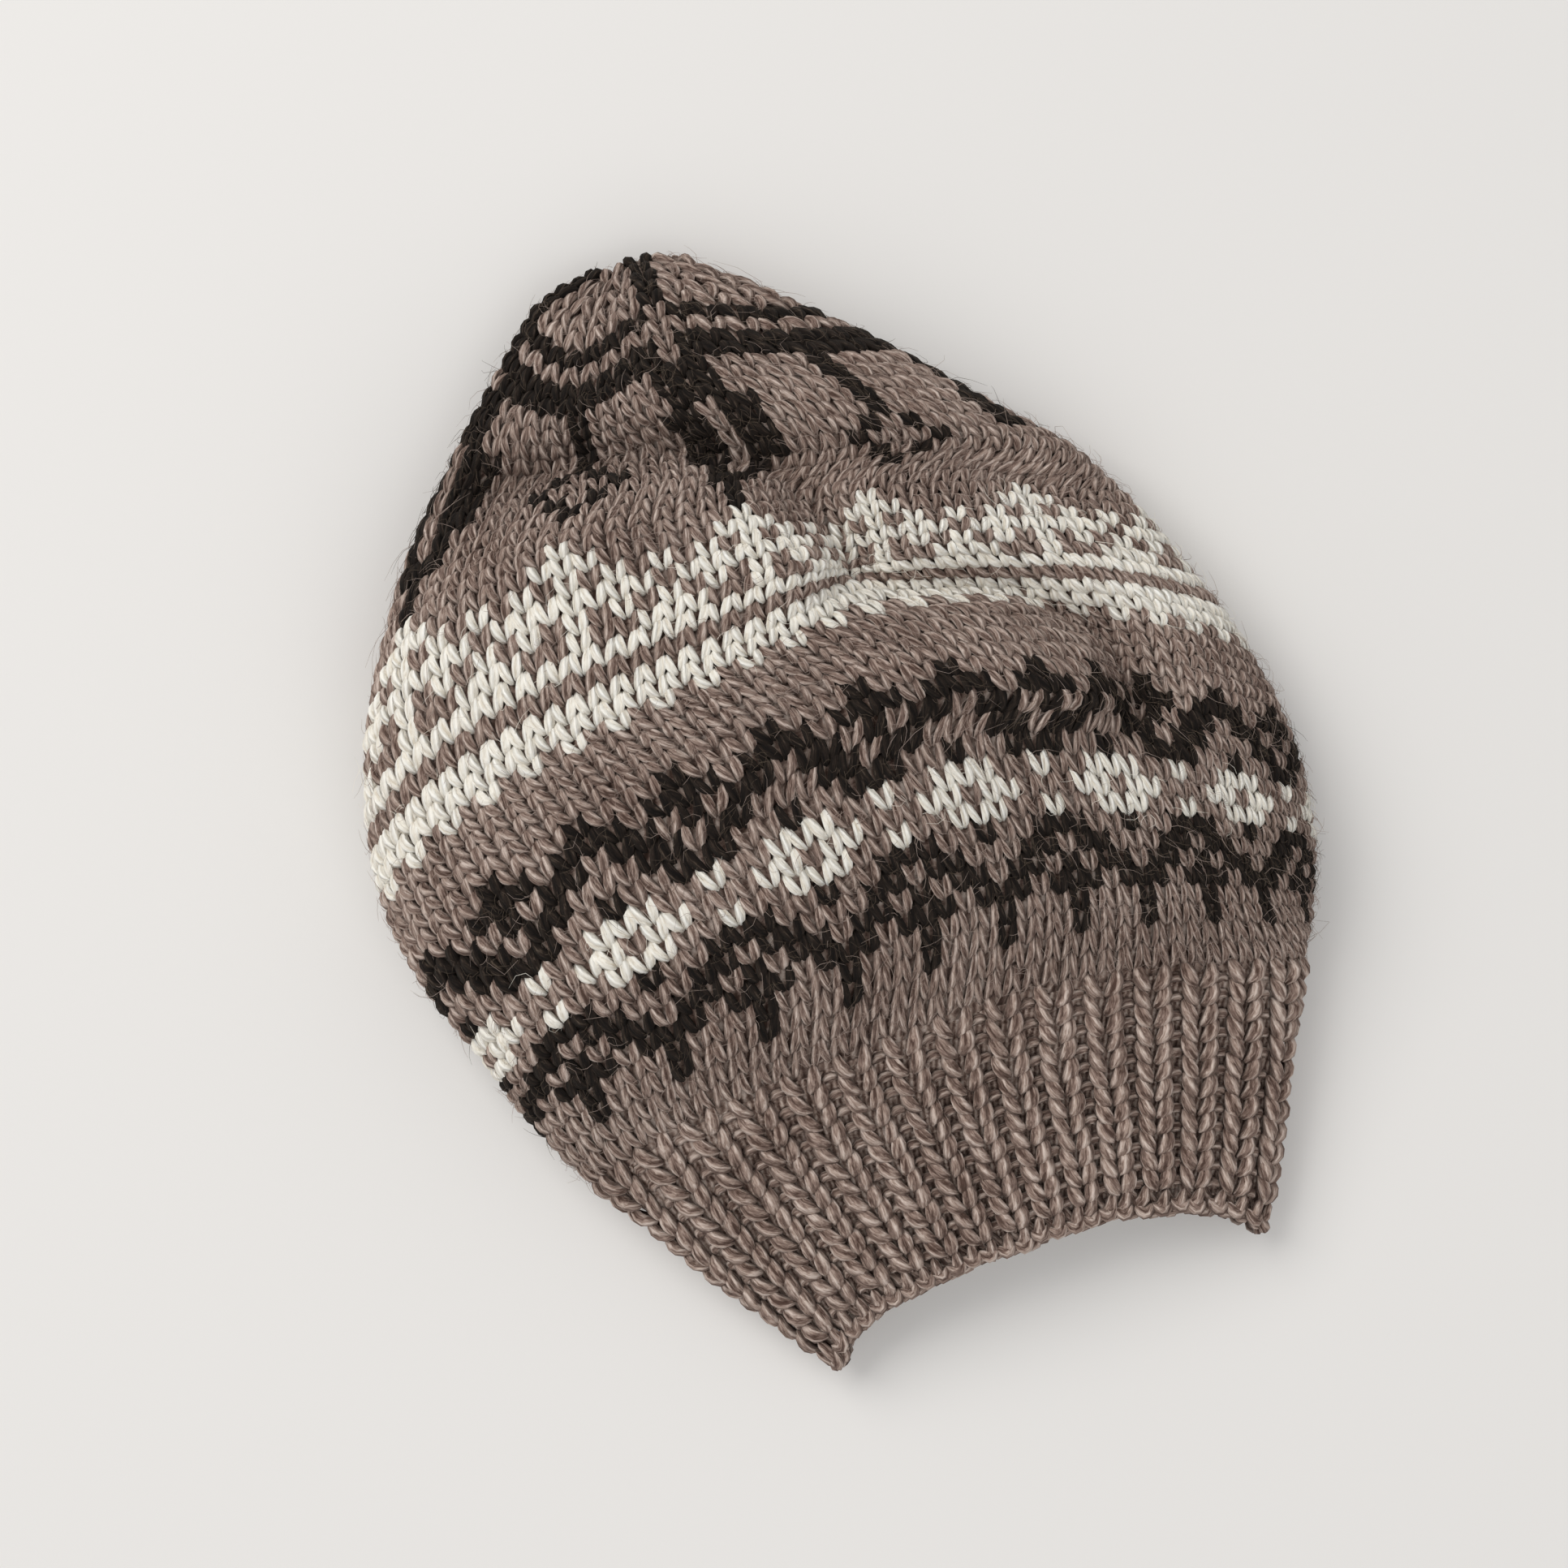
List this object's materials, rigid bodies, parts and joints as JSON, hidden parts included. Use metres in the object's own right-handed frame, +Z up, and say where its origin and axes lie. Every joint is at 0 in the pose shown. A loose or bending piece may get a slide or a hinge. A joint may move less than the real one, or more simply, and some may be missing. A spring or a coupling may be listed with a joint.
{
  "type": "knit beret",
  "caption": "Slouchy knitted beret lying on its side, with a ribbed band at the opening, stranded colour bands round the body and a decreased crown.",
  "frame": {"origin": "on the surface that the hat lies on, under the middle of its box", "axes": "+Y from the ribbed opening to the crown's tip, +X to the right as seen from above, +Z up"},
  "size_m": [0.209, 0.2634, 0.0609],
  "materials": {
    "taupe_yarn": "heathered plied wool, matte with a soft fuzz",
    "dark_yarn": "brown-black plied wool, hairy and matte",
    "cream_yarn": "off-white plied wool, smooth and matte"
  },
  "bodies": {
    "root": {"ribbed_band": "taupe_yarn", "crown": "taupe_yarn"}
  },
  "joints": []
}
